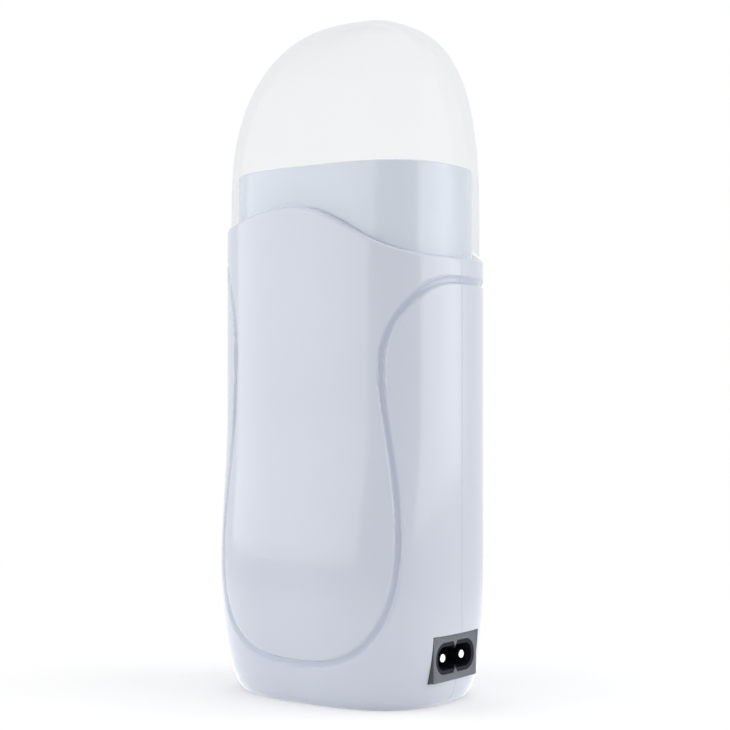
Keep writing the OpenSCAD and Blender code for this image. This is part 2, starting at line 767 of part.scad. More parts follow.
// Saddle over the sleeve with one screwed foot
module fuse_clip() color([0.7, 0.71, 0.72])
difference() {
    r = clip_r + clip_thickness;
    w = clip_width / 2;
    union() {
        rod_x(fuse_y, fuse_z, -w, w, r);
        box([-w, flange_y, fuse_z - r], [w, fuse_y, fuse_z + r]);
        box([-w, flange_y, clip_screw_z - small_head_d / 2],
            [w, flange_y + clip_thickness, fuse_z]);
        box([-w, flange_y, fuse_z], [w, flange_y + clip_thickness, fuse_z + clip_foot]);
    }
    rod_x(fuse_y, fuse_z, -w - 1, w + 1, clip_r);
    box([-w - 1, flange_y - 1, fuse_z - clip_r], [w + 1, fuse_y, fuse_z + clip_r]);
    rod_y(0, clip_screw_z, flange_y - 1, flange_y + 2, small_screw_d / 2 + small_screw_play);
}

module plate_screws() color([0.6, 0.6, 0.62])
for (i = [0:len(small_screw_places) - 1]) {
    p = small_screw_places[i];
    seat = flange_y + (i < 2 ? bridge_thickness : clip_thickness);
    rod_y(p[0], p[1], seat, seat + small_head_height, small_head_d / 2);
    rod_y(p[0], p[1], flange_y - small_bite, seat + touch, small_screw_d / 2);
}

module lead_crimps() color([0.8, 0.8, 0.82])
for (s = [-1, 1]) difference() {
    inner = s > 0 ? crimp_x : -crimp_x - crimp_length;
    rod_x(fuse_y, fuse_z, inner, inner + crimp_length, crimp_r);
    rod_x(fuse_y, fuse_z, inner - 1, inner + crimp_length + 1, fuse_lead_d / 2 + touch);
}

// ---- Mains inlet --------------------------------------------------------------------------

module along_x(x0, x1) {
    translate([x0, inlet_y, inlet_z]) rotate([90, 0, 90]) linear_extrude(x1 - x0) children();
}

module socket_outline(inside) {
    h = socket_height / 2;
    half_notch = notch_width / 2 + inside / 2;
    difference() {
        rounded_rect(socket_width - 2 * inside, socket_height - 2 * inside,
            socket_corner - inside);
        for (m = [0, 1]) mirror([0, m]) polygon([[-half_notch, h + touch],
            [0, h - notch_depth - inside * 0.6], [half_notch, h + touch]]);
    }
}

module inlet_bezel() color([0.4, 0.41, 0.44])
difference() {
    along_x(frame_back_x, face_x) rounded_rect(inlet_width, inlet_height, frame_corner);
    along_x(frame_back_x - 1, face_x + 1) socket_outline(0);
}

module inlet_body() color([0.1, 0.11, 0.13])
difference() {
    union() {
        along_x(inlet_back_x, frame_back_x)
            rounded_rect(inlet_width - 2 * socket_block_inset,
                inlet_height - 2 * socket_block_inset, frame_corner);
        along_x(frame_back_x - touch, face_x - socket_set_back) socket_outline(socket_fit);
        along_x(inlet_flange_x, inlet_flange_x + inlet_flange_thickness)
            square([inlet_flange_width, inlet_flange_height], center = true);
    }
    along_x(socket_floor_x, face_x + 1) socket_outline(socket_rim);
    for (s = [-1, 1])
        rod_x(inlet_y + s * pin_pitch / 2, inlet_z, inlet_back_x - 1, socket_floor_x + 1,
            pin_d / 2 + pin_collar);
}

// Round contact pin with a flat blade behind the socket
module pin(side) {
    y = inlet_y + side * pin_pitch / 2;
    nose_x = face_x - pin_recess - pin_nose;
    rod_x(y, inlet_z, inlet_back_x, socket_floor_x, pin_d / 2 + pin_collar);
    rod_x(y, inlet_z, socket_floor_x - touch, nose_x, pin_d / 2);
    translate([nose_x, y, inlet_z]) scale([2 * pin_nose / pin_d, 1, 1])
        sphere(d = pin_d, $fn = SMOOTH);
    box([inlet_back_x - blade_length, y - blade_thickness / 2, inlet_z - blade_width / 2],
        [inlet_back_x + touch, y + blade_thickness / 2, inlet_z + blade_width / 2]);
}

module line_pin() color([0.85, 0.85, 0.86]) pin(REAR);

module neutral_pin() color([0.85, 0.85, 0.86]) pin(FRONT);

// Push-on receptacle with a crimp barrel
module terminal(side) {
    y = inlet_y + side * pin_pitch / 2;
    half_w = blade_thickness / 2 + terminal_play + terminal_wall;
    half_h = blade_width / 2 + terminal_play + terminal_wall;
    difference() {
        union() {
            box([terminal_x, y - half_w, inlet_z - half_h],
                [terminal_x + terminal_length, y + half_w, inlet_z + half_h]);
            rod_x(y, inlet_z, barrel_x, terminal_x + touch, barrel_r);
        }
        box([terminal_x + terminal_wall, y - half_w + terminal_wall,
             inlet_z - half_h + terminal_wall],
            [inlet_back_x, y + half_w - terminal_wall, inlet_z + half_h - terminal_wall]);
        rod_x(y, inlet_z, barrel_x - 1, terminal_x - 1, wire_d / 2 + touch);
    }
}

module line_terminal() color([0.82, 0.82, 0.84]) terminal(REAR);

module neutral_terminal() color([0.82, 0.82, 0.84]) terminal(FRONT);

// ---- Wires --------------------------------------------------------------------------------

WIRE_SIDES = 8;

// Smooth curve through the route's points, with one more point in each stretch
function through(p, i, t) =
    let (a = p[max(i - 1, 0)], b = p[i], c = p[i + 1], d = p[min(i + 2, len(p) - 1)])
    0.5 * (2 * b + (c - a) * t + (2 * a - 5 * b + 4 * c - d) * t * t
        + (3 * b - a - 3 * c + d) * t * t * t);

function smooth_route(p) = concat(
    [for (i = [0:len(p) - 2], t = [0, 0.5]) through(p, i, t)], [p[len(p) - 1]]);

module wire(route) {
    p = smooth_route(route);
    n = len(p);
    loft([for (i = [0:n - 1])
        let (raw = i == 0 ? route[1] - route[0]
                 : i == n - 1 ? route[len(route) - 1] - route[len(route) - 2]
                 : p[i + 1] - p[i - 1],
             dir = raw / norm(raw),
             helper = [0.3, 0.5, -0.81],
             u_raw = cross(dir, helper),
             u = u_raw / norm(u_raw),
             v = cross(dir, u))
        [for (k = [0:WIRE_SIDES - 1]) let (a = 360 * k / WIRE_SIDES)
            p[i] + wire_d / 2 * (cos(a) * u + sin(a) * v)]]);
}

line_start = [barrel_x, inlet_y + pin_pitch / 2, inlet_z];
neutral_start = [barrel_x, inlet_y - pin_pitch / 2, inlet_z];
crimp_end_x = crimp_x + crimp_length;
solder_z = stack_z - stack_height / 2 - electrode_margin - electrode_tab_length / 2;
solder_x = electrode_tab_x + 1;

line_route = [line_start + [2.4, 0, 0], line_start, line_start + [-1.8, 1.1, 1.55], [3.4, 9, 18.4],
    [7, 14, 21.4], [10.6, 18.4, 23.6], [14, 19.8, 28.5], [15.6, 20, 34.5], [16, 20.2, 40],
    [15.6, fuse_y, fuse_z - 1.6], [crimp_end_x + 1, fuse_y, fuse_z],
    [crimp_end_x + touch, fuse_y, fuse_z]];

neutral_route = [neutral_start + [2.4, 0, 0], neutral_start, neutral_start + [-1.6, 0.7, 1.95],
    [4.8, 0, 18.4], [7.6, 6, 20.8], [11.4, 12, 21.8], [15.4, 17.4, 21.9], [17.8, 19.4, 26],
    [18.7, 19.7, 32], [18.8, 19.8, 39], [18.8, 19.8, 45], [17.4, 20, solder_z - 1.6], [13.4, 20.05, solder_z],
    [solder_x, outer_electrode_y - wire_d / 2 - touch, solder_z]];

fuse_route = [[-crimp_end_x - touch, fuse_y, fuse_z], [-crimp_end_x - 1, fuse_y, fuse_z],
    [-15.6, 20.3, 46], [-16, 20.2, 48.6], [-14.6, 20, solder_z - 0.8], [-11.6, 19.9, solder_z],
    [-solder_x, stone_y + wire_d / 2 + touch, solder_z]];

module line_wire() color([0.55, 0.25, 0.15]) wire(line_route);

module neutral_wire() color([0.2, 0.35, 0.7]) wire(neutral_route);

module fuse_wire() color([0.85, 0.85, 0.85]) wire(fuse_route);

// ---- Housing screws -----------------------------------------------------------------------

module housing_screws() color([0.55, 0.56, 0.58])
for (x = screw_x) difference() {
    union() {
        rod_y(x, screw_z, screw_seat_y, screw_seat_y + screw_head_height, screw_head_d / 2);
        rod_y(x, screw_z, screw_seat_y - screw_length, screw_seat_y + touch, screw_d / 2);
    }
    for (a = [0, 90]) translate([x, screw_seat_y + screw_head_height, screw_z])
        rotate([0, a, 0]) cube([3, 2, 0.7], center = true);
}

front_shell();
rear_shell();
cartridge_sleeve();
heater_plate();
inner_insulator();
inner_electrode();
ptc_stones();
outer_electrode();
outer_insulator();
clamp_bridge();
thermal_fuse();
fuse_sleeve();
fuse_clip();
plate_screws();
inlet_bezel();
inlet_body();
line_pin();
neutral_pin();
line_terminal();
neutral_terminal();
line_wire();
fuse_wire();
neutral_wire();
lead_crimps();
housing_screws();
clear_cap();
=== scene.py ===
"""Looks of a roll-on wax heater: surfaces and finishes worked out round its packed model."""

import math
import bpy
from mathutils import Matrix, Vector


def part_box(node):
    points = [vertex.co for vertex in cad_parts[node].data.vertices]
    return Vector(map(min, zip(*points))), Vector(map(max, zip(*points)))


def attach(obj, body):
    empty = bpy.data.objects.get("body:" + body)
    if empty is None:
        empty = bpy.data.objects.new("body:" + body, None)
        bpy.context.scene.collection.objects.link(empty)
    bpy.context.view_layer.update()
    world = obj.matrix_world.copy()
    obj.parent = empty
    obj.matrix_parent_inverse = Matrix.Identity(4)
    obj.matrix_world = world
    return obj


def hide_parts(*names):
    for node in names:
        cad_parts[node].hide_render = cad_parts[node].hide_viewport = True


bl_info = {
    "name": "Roll-on wax heater",
    "version": (1, 0, 0),
    "blender": (4, 5, 0),
    "location": "3D View > Sidebar > Wax heater",
    "description": "Housing, clear cap, inlet and finishes of a roll-on wax heater",
    "category": "Add Mesh",
}

import bmesh
import bpy
import numpy as np
from bpy.props import FloatProperty, FloatVectorProperty, PointerProperty

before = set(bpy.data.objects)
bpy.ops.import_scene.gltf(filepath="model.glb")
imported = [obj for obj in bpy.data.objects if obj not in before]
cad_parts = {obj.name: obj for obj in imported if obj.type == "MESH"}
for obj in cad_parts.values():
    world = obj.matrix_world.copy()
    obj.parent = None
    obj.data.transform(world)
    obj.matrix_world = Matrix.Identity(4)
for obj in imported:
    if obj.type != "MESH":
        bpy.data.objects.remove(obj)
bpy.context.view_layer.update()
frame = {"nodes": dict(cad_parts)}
NODES = frame["nodes"]
MM = 0.001


# ---- Sizes and colours ---------------------------------------------------------------------


def length(name, description, millimetres):
    """A size, given in millimetres and kept in metres."""
    return FloatProperty(
        name=name, description=description, default=millimetres * MM, unit="LENGTH", precision=5
    )


def number(name, description, value):
    """A plain number, such as the squareness of an oval."""
    return FloatProperty(name=name, description=description, default=value, min=0.0)


def colour(name, description, value):
    """A colour in linear red, green and blue."""
    return FloatVectorProperty(
        name=name, description=description, default=value, subtype="COLOR", min=0.0, max=1.0
    )


class HousingSizes(bpy.types.PropertyGroup):
    """Sizes of the two housing shells"""

    half_width: length("Half width", "From the middle to the narrow sides", 34.8)
    half_depth: length("Half depth", "From the parting line to the rear", 25.6)
    squareness: number("Squareness", "2 is an ellipse, more is squarer", 2.75)
    wall: length("Wall", "Thickness of the shells", 2.0)
    lip: length("Lip", "Thickness of the ledge under the shoulder", 2.0)
    edge: length("Shoulder edge", "Radius of the shoulder's outer edge", 1.0)
    low: length("Low shoulder", "Height of the shoulder above the inlet", 114.6)
    crest: length("Crest", "Height of the shoulder's crest", 127.9)
    far: length("Far shoulder", "Height of the shoulder away from the inlet", 124.0)
    crest_x: length("Crest place", "Place of the crest along X", -1.2)
    level_x: length("Level place", "Where the shoulder turns level along X", 36.0)
    belly: length("Belly", "Swelling of the front, low down", 3.6)
    belly_height: length("Belly height", "Height of the fullest part", 33.0)
    belly_reach: length("Belly reach", "Height over which the swelling fades", 42.0)
    inset_side: length("Base inset, sides", "How far the base is drawn in there", 5.8)
    inset_front: length("Base inset, front", "The same at the front and the rear", 4.3)
    rounding: length("Base rounding", "Height of the rounding round the base", 24.0)
    line_width: length("Line width", "Width of the recessed line", 2.1)
    line_depth: length("Line depth", "Depth of the recessed line", 0.7)
    line_drop: length("Line drop", "From the low shoulder to the line's upper bend", 5.8)
    line_rear: number("Rear bend", "Squareness of that bend on the rear shell", 4.5)
    seam: length("Seam", "Chamfer where the two shells meet", 0.09)


class CollarSizes(bpy.types.PropertyGroup):
    """Sizes of the collar and the cartridge pocket"""

    half_width: length("Half width", "Of the collar", 32.0)
    half_depth: length("Half depth", "Of the collar", 21.75)
    squareness: number("Squareness", "2 is an ellipse, more is squarer", 2.95)
    skirt: length("Skirt wall", "Thickness of the collar's skirt", 1.6)
    skirt_z: length("Skirt end", "Height of the skirt's lower edge", 106.6)
    rim_z: length("Rim", "Height of the rim", 138.6)
    rim_thickness: length("Rim thickness", "Of the ring that closes the collar", 1.8)
    fit: length("Fit", "Clearance between the collar and the shells", 0.15)
    pocket_x: length("Pocket half width", "Inside the pocket", 27.4)
    pocket_y: length("Pocket half depth", "Inside the pocket", 16.9)
    pocket_corner: length("Pocket corner", "Radius of its upright corners", 9.4)
    pocket_wall: length("Pocket wall", "Thickness of the pocket", 1.4)
    pocket_floor: length("Pocket floor", "Height of the pocket's floor", 26.0)
    forward: length("Forward", "How far the pocket sits in front of the middle", 1.0)
    window_x: length("Window half width", "Hole for the heating plate", 17.0)


class CapSizes(bpy.types.PropertyGroup):
    """Sizes of the clear cap"""

    gap: length("Gap", "Clearance between the cap and the collar", 0.5)
    wall: length("Wall", "Thickness of the cap", 1.3)
    seat: length("Seat gap", "Between the cap's edge and the shoulder", 0.25)
    start: length("Dome start", "Depth below the rim where the dome begins", 12.0)
    top_z: length("Top", "Height of the cap's top", 178.4)
    squareness: number("Profile", "2 is a half ellipse, more is squarer", 2.6)
    lean: length("Lean", "Shift of the top towards the inlet side", 4.0)


class InletSizes(bpy.types.PropertyGroup):
    """Sizes of the mains inlet"""

    width: length("Frame width", "Of the grey frame", 19.7)
    height: length("Frame height", "Of the grey frame", 11.7)
    centre_z: length("Height", "Of the inlet's middle", 12.65)
    forward: length("Forward", "How far it sits in front of the parting line", 1.2)
    face_x: length("Face", "Place of the frame's face along X", 33.6)
    depth: length("Depth", "Of the frame behind its face", 4.9)
    corner: length("Frame corner", "Radius of the frame's corners", 0.6)
    opening_width: length("Opening width", "Of the figure-8 opening", 17.4)
    opening_height: length("Opening height", "Of the figure-8 opening", 8.0)
    opening_corner: length("Opening corner", "Radius of its corners", 3.8)
    notch_depth: length("Notch depth", "Of the two notches", 1.3)
    notch_width: length("Notch width", "Of the two notches", 1.8)
    fit: length("Fit", "Gap round the frame in the housing", 0.15)
    screw_z: length("Screw height", "Of the housing screws", 17.0)
    screw_far_x: length("Far screw", "Its place along X", -24.0)
    screw_near_x: length("Near screw", "Its place along X", -4.0)
    screw_seat_y: length("Screw seat", "Where the heads rest along Y", 8.0)
    well_radius: length("Well radius", "Of the wells over the screw heads", 3.1)


class Finishes(bpy.types.PropertyGroup):
    """Colours of the visible pieces"""

    housing: colour("Housing", "Glossy pale plastic of the shells", (0.59, 0.625, 0.715))
    # Painted shade: the same plastic, darker inside the recessed line to stand in for the shade
    # that falls there.
    line: colour("Recessed line", "The same plastic inside the line", (0.51, 0.545, 0.65))
    collar: colour("Collar", "Glossy pale plastic of the collar", (0.70, 0.75, 0.83))
    cap: colour("Clear cap", "Tint of the clear plastic", (0.60, 0.64, 0.68))
    frame: colour("Inlet frame", "Matt grey plastic", (0.115, 0.127, 0.15))
    # Painted shade: the frame's walls in the housing are darkened to stand in for the shade that
    # falls on them.
    frame_side_shade: colour("Frame's sides", "The frame's walls in the housing", (0.025, 0.03, 0.04))
    socket: colour("Inlet socket", "Matt black plastic", (0.007, 0.010, 0.015))
    floor: colour("Floor", "Pale floor of the studio", (0.86, 0.86, 0.86))


# ---- Formulas of the forms -----------------------------------------------------------------


def power_of(c, power):
    """Keeps the sign of c and raises its size to 2 / power."""
    return np.sign(c) * np.abs(c) ** (2 / power)


def outline(turn, x, y, power):
    """Oval outline: x and y times the powered cosine and sine of the turn, in degrees."""
    t = np.radians(turn)
    return np.stack([x * power_of(np.cos(t), power), y * power_of(np.sin(t), power)], -1)


def ease(t):
    """Slow start and stop between 0 and 1: three times the square less twice the cube."""
    t = np.clip(t, 0, 1)
    return t * t * (3 - 2 * t)


def shoulder(h, turn):
    """Height of the wavy shoulder: it eases from the crest down to each narrow side."""
    x = h.half_width * power_of(np.cos(np.radians(turn)), h.squareness)
    low = h.crest - (h.crest - h.low) * ease((x - h.crest_x) / (h.level_x - h.crest_x))
    far = h.crest - (h.crest - h.far) * ease((h.crest_x - x) / (h.half_width + h.crest_x))
    return np.where(x > h.crest_x, low, far)


def drawn_in(h, z):
    """Quarter ellipse round the base: 1 at the base, 0 where the rounding ends."""
    t = np.clip(1 - np.maximum(z, 0) / h.rounding, 0, 1)
    return 1 - np.sqrt(1 - t * t)


def swelling(h, turn, z):
    """Squared cosine over the belly's reach, on the front alone."""
    t = np.clip((z - h.belly_height) / h.belly_reach, -1, 1)
    return np.where(np.sin(np.radians(turn)) < 0, h.belly * np.cos(np.pi / 2 * t) ** 2, 0)


def skin(h, turn, z, inside):
    """Point of the housing's skin, a distance inside the outer one: a squared-off oval whose
    half sizes are drawn in towards the base and swell with the belly."""
    squeezed = h.rounding * (z - inside) / (h.rounding - inside)
    draw = drawn_in(h, np.where(z < h.rounding, squeezed, z))
    x = h.half_width - h.inset_side * draw - inside
    y = h.half_depth + swelling(h, turn, z) - h.inset_front * draw - inside
    t = np.radians(turn)
    return np.stack(
        [
            x * power_of(np.cos(t), h.squareness),
            y * power_of(np.sin(t), h.squareness),
            z + 0 * t,
        ],
        -1,
    )


def quarter(start, end, power, steps=60):
    """Quarter of an oval, upright at its start and level at its end, in turn and height."""
    t = np.radians(np.linspace(0, 90, steps))
    return np.stack(
        [
            end[0] + (start[0] - end[0]) * power_of(np.cos(t), power),
            start[1] + (end[1] - start[1]) * power_of(np.sin(t), power),
        ],
        -1,
    )


def sway(start, end, steps=60):
    """S between two upright ends: half a cosine across, steady in height."""
    t = np.linspace(0, 1, steps)
    return np.stack(
        [
            start[0] + (end[0] - start[0]) * (1 - np.cos(np.pi * t)) / 2,
            start[1] + (end[1] - start[1]) * t,
        ],
        -1,
    )


def panel_line(h, side):
    """Turn and height along the recessed line: quarter ovals joined by two S bends."""
    waist_low, wide_low = (51.2, 86.5 * MM), (37.8, 41 * MM)
    waist_far, wide_far = (122.5, 90 * MM), (130.7, 43 * MM)
    bottom, far_drop = (87.0, 11.1 * MM), 4.4 * MM
    return np.concatenate(
        [
            quarter(waist_low, (0.0, h.low - h.line_drop), h.line_rear if side > 0 else 2)[::-1],
            sway(waist_low, wide_low)[1:],
            quarter(wide_low, bottom, 2)[1:],
            quarter(wide_far, bottom, 2.2)[::-1][1:],
            sway(wide_far, waist_far)[1:],
            quarter(waist_far, (180.0, h.far - far_drop), 2.3)[1:],
        ]
    )


def evened(points, step):
    """The same path with points an even step apart."""
    gone = np.concatenate([[0], np.cumsum(np.linalg.norm(np.diff(points, axis=0), axis=1))])
    at = np.linspace(0, gone[-1], int(gone[-1] / step) + 1)
    return np.stack([np.interp(at, gone, points[:, k]) for k in range(points.shape[1])], -1)


def nearest(points, path):
    """Distance from each point to the closest point of a path, row by row."""
    return np.stack(
        [np.sqrt(((row[:, None] - path[None]) ** 2).sum(-1).min(1)) for row in points]
    )


def spaced(total, place, spacing):
    """Places from 0 to total, as far apart as spacing says at each place."""
    count = np.concatenate([[0], np.cumsum(np.diff(place) / ((spacing[1:] + spacing[:-1]) / 2))])
    return np.interp(np.linspace(0, count[-1], int(count[-1]) + 1), count, place) * total


def rounded_rectangle(half_x, half_y, corner, steps=40):
    """Closed outline with quarter circles at its corners."""
    a = np.radians(np.linspace(0, 90, steps))
    arc = corner * np.stack([np.cos(a), np.sin(a)], -1)
    centre = np.array([half_x - corner, half_y - corner])
    first = centre + arc
    second = np.array([-1, 1]) * first[::-1]
    return np.concatenate([first, second, -first, -second])


def ray_ring(points, angles, centre=(0.0, 0.0)):
    """Where rays from the origin at these angles meet a closed outline about a centre."""
    p = points + np.array(centre)
    nxt = np.roll(p, -1, 0)
    share = np.linspace(0, 1, 24, endpoint=False)[:, None, None]
    dense = (p[None] * (1 - share) + nxt[None] * share).transpose(1, 0, 2).reshape(-1, 2)
    turn = np.arctan2(dense[:, 1], dense[:, 0])
    order = np.argsort(turn)
    radius = np.interp(angles, turn[order], np.hypot(*dense[order].T), period=2 * np.pi)
    return np.stack([radius * np.cos(angles), radius * np.sin(angles)], -1)


# ---- Meshes --------------------------------------------------------------------------------


def grid_faces(rows, columns, wrap=False, closed=False):
    """Quads between neighbouring rows and columns; wrap joins the last column to the first,
    and closed joins the last row to the first."""
    i = np.arange(rows if closed else rows - 1)[:, None]
    j = np.arange(columns if wrap else columns - 1)[None]
    up, on = (i + 1) % rows, (j + 1) % columns
    quads = [i * columns + j, i * columns + on, up * columns + on, up * columns + j]
    return np.stack(quads, -1).reshape(-1, 4)


def closed_mesh(name, points, faces, mask=None):
    """Mesh from quads, with its doubled points merged and its faces turned outwards. A mask
    goes with the points as the attribute "line", for a finish to read."""
    mesh = bpy.data.meshes.new(name)
    mesh.vertices.add(len(points))
    mesh.vertices.foreach_set("co", np.ascontiguousarray(points, np.float32).ravel())
    mesh.loops.add(faces.size)
    mesh.loops.foreach_set("vertex_index", np.ascontiguousarray(faces, np.int32).ravel())
    mesh.polygons.add(len(faces))
    mesh.polygons.foreach_set("loop_start", np.arange(0, faces.size, 4, dtype=np.int32))
    mesh.update(calc_edges=True)
    if mask is not None:
        mesh.attributes.new("line", "FLOAT", "POINT").data.foreach_set(
            "value", mask.astype(np.float32).ravel()
        )
    work = bmesh.new()
    work.from_mesh(mesh)
    bmesh.ops.remove_doubles(work, verts=work.verts, dist=1e-7)
    bmesh.ops.recalc_face_normals(work, faces=work.faces)
    work.to_mesh(mesh)
    work.free()
    return mesh


def shaded(mesh, angle=35):
    """Smooth faces, sharp where the surface turns by more than the angle."""
    mesh.polygons.foreach_set("use_smooth", np.ones(len(mesh.polygons), bool))
    mesh.set_sharp_from_angle(angle=math.radians(angle))


def piece(name, mesh, body, slot, finish, *nodes):
    """A shown object that stands for CAD nodes, rides on a body and has a finish."""
    made = bpy.data.objects.new(name, mesh)
    bpy.context.scene.collection.objects.link(made)
    mesh.materials.append(finish)
    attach(made, body)
    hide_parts(*nodes)


def solid_of_rings(name, rings, marks=None):
    """Closed form through rings whose first and last lie on a point; marks has one per ring."""
    rows, columns = len(rings), len(rings[0])
    mask = None if marks is None else np.repeat(marks, columns)
    return closed_mesh(name, np.concatenate(rings), grid_faces(rows, columns, wrap=True), mask)


def with_height(flat, z):
    """Points in the plane with a height, one for all or one each."""
    return np.concatenate([flat, np.broadcast_to(z, flat.shape[:1])[:, None]], -1)


def block(name, low, high):
    """Cutter with six flat faces."""
    low, high = np.array(low), np.array(high)
    corner = np.array([[x, y, z] for x in (0, 1) for y in (0, 1) for z in (0, 1)])
    sides = [[0, 1, 3, 2], [4, 6, 7, 5], [0, 4, 5, 1], [2, 3, 7, 6], [0, 2, 6, 4], [1, 5, 7, 3]]
    return closed_mesh(name, low + corner * (high - low), np.array(sides))


def rod(name, x, z, near, far, radius, sides=72):
    """Round cutter or boss along Y; far may be a function of X and Z."""
    a = np.linspace(0, 2 * np.pi, sides, endpoint=False)
    ring = np.stack([x + radius * np.cos(a), 0 * a, z + radius * np.sin(a)], -1)
    far = far(ring[:, 0], ring[:, 2]) if callable(far) else far + 0 * a
    lower, upper = ring.copy(), ring.copy()
    lower[:, 1], upper[:, 1] = near, far
    start, end = 0 * ring + [x, near, z], 0 * ring + [x, far.mean(), z]
    return solid_of_rings(name, [start, lower, upper, end])


def carved(target, changes):
    """Mesh after boolean changes, each an operation and a mesh."""
    fewest_faces = 6
    host = bpy.data.objects.new("host", target)
    bpy.context.scene.collection.objects.link(host)
    tools = []
    for operation, mesh in changes:
        tool = bpy.data.objects.new("tool", mesh)
        bpy.context.scene.collection.objects.link(tool)
        tools.append(tool)
        change = host.modifiers.new("change", "BOOLEAN")
        change.operation, change.solver, change.object = operation, "MANIFOLD", tool
    bpy.context.view_layer.update()
    result = bpy.data.meshes.new_from_object(
        host.evaluated_get(bpy.context.evaluated_depsgraph_get())
    )
    if len(result.polygons) < fewest_faces:
        raise RuntimeError(f"{target.name}: the cuts left nothing")
    for spent in [host, *tools]:
        bpy.data.objects.remove(spent)
    result.materials.clear()
    return result


# ---- Finishes ------------------------------------------------------------------------------


class Signal:
    """A shader socket on which Python's operators add Math nodes."""

    def __init__(self, finish, socket):
        self.finish, self.socket = finish, socket

    def _with(self, operation, *values):
        return self.finish.node("ShaderNodeMath", {"operation": operation}, dict(enumerate(values)))

    def __add__(self, other):
        return self._with("ADD", self, other)

    def __sub__(self, other):
        return self._with("SUBTRACT", self, other)

    def __mul__(self, other):
        return self._with("MULTIPLY", self, other)

    def __rsub__(self, other):
        return self._with("SUBTRACT", other, self)

    def __pow__(self, other):
        return self._with("POWER", self, other)

    __radd__, __rmul__ = __add__, __mul__


class Finish:
    """One material: its Principled shader and the nodes that feed it."""

    def __init__(self, name):
        self.material = bpy.data.materials.new(name)
        self.material.use_nodes = True
        self.tree = self.material.node_tree
        self.shader = self.tree.nodes["Principled BSDF"]
        self.place = self.node("ShaderNodeTexCoord", out="Object")

    def node(self, kind, settings=None, values=None, out=0):
        """Adds a node, makes its settings first, then fills its sockets; gives its output."""
        made = self.tree.nodes.new(kind)
        for key, value in (settings or {}).items():
            setattr(made, key, value)
        for key, value in (values or {}).items():
            self.fill(made.inputs[key], value)
        return Signal(self, made.outputs[out])

    def fill(self, socket, value):
        """Links a signal to a socket, or sets its number or colour."""
        if isinstance(value, Signal):
            self.tree.links.new(value.socket, socket)
        elif hasattr(socket.default_value, "__len__") and len(socket.default_value) == 4:
            socket.default_value = (*value[:3], 1.0)
        else:
            socket.default_value = value

    def set(self, **values):
        """Fills the shader's sockets, named in words with underscores."""
        for key, value in values.items():
            socket = key.replace("_", " ").title().replace("Ior", "IOR")
            self.fill(self.shader.inputs[socket], value)

    def noise(self, size, stretch=(1, 1, 1), detail=2.0):
        """Soft noise between 0 and 1, whose grains have a size in metres."""
        at = self.node(
            "ShaderNodeMapping", {"vector_type": "POINT"}, {"Vector": self.place, "Scale": stretch}
        )
        values = {"Vector": at, "Scale": 1 / size, "Detail": detail}
        return self.node("ShaderNodeTexNoise", None, values, "Fac")

    def mixed(self, share, first, second):
        """Colour between two, by a share."""
        return self.node(
            "ShaderNodeMix",
            {"data_type": "RGBA"},
            {"Factor": share, "A": first, "B": second},
            "Result",
        )

    def bump(self, height, strength, distance):
        """Normal of a surface raised by a height between 0 and 1, over a distance in metres."""
        return self.node(
            "ShaderNodeBump", None, {"Height": height, "Strength": strength, "Distance": distance}
        )


def shade_of(tint, share):
    """A colour made darker or lighter by a share."""
    return tuple(min(1.0, c * share) for c in tint[:3])


def moulded(name, tint, line=None, roughness=0.2, variation=0.03):
    """Glossy moulded plastic: faint cloudy tint, fine ripple and painted shade in the recessed
    line.
    """
    f = Finish(name)
    cloud = f.noise(0.03, detail=3)
    body = f.mixed(cloud, shade_of(tint, 1 - variation), shade_of(tint, 1 + variation))
    # Painted shade: where the line attribute marks the recessed line, the colour turns to the
    # darker line colour.
    if line:
        painted_shade_mask = f.node("ShaderNodeAttribute", {"attribute_name": "line"}, out="Fac")
        body = f.mixed(painted_shade_mask, body, line[:3])
    fine_ripple, wide_ripple = 0.0006 / 0.35, 0.004
    ripple = f.noise(fine_ripple, detail=1) * 0.5 + f.noise(wide_ripple, detail=1) * 0.5
    f.set(
        base_color=body,
        roughness=f.noise(0.012) * 0.06 + (roughness - 0.03),
        normal=f.bump(ripple, 0.12, 0.00003),
        ior=1.5,
        coat_weight=0.25,
        coat_roughness=0.05,
    )
    return f.material


def clear_plastic(name, tint):
    """Clear glossy plastic: nearly open when seen square on, closing towards its edges, and
    with most of the tint in its outer face."""
    square_on, at_the_edge, inner_share = 0.115, 0.3, 0.9
    f = Finish(name)
    facing = f.node("ShaderNodeLayerWeight", None, {"Blend": 0.5}, "Facing")
    inner = f.node("ShaderNodeAttribute", {"attribute_name": "line"}, out="Fac")
    haze = f.noise(0.02, detail=2)
    f.set(
        base_color=f.mixed(haze, shade_of(tint, 0.97), shade_of(tint, 1.03)),
        roughness=haze * 0.03 + 0.04,
        alpha=(facing**2.2 * at_the_edge + square_on) * (1 - inner * inner_share),
        ior=1.5,
        specular_ior_level=0.4,
    )
    return f.material


def grained(name, tint, roughness, size, depth, variation=0.12, gloss=0.5, side=None):
    """Matt plastic with an even spark-eroded grain, and painted shade on its marked sides."""
    f = Finish(name)
    grain = f.noise(size, detail=2)
    body = f.mixed(f.noise(size * 6), shade_of(tint, 1 - variation), shade_of(tint, 1 + variation))
    # Painted shade: the marked sides turn to the darker side colour.
    if side:
        painted_shade_mask = f.node("ShaderNodeAttribute", {"attribute_name": "line"}, out="Fac")
        body = f.mixed(painted_shade_mask, body, side[:3])
    f.set(
        base_color=body,
        roughness=grain * 0.12 + (roughness - 0.06),
        normal=f.bump(grain, 0.5, depth),
        specular_ior_level=gloss,
    )
    return f.material


def metal(name, tint, roughness, stretch, size=0.0004, depth=0.00001, variation=0.08):
    """Bare metal with drawn or turned lines along one axis."""
    f = Finish(name)
    lines = f.noise(size, stretch, detail=3)
    f.set(
        base_color=f.mixed(lines, shade_of(tint, 1 - variation), shade_of(tint, 1 + variation)),
        metallic=1.0,
        roughness=lines * 0.14 + (roughness - 0.07),
        normal=f.bump(lines, 0.35, depth),
    )
    return f.material


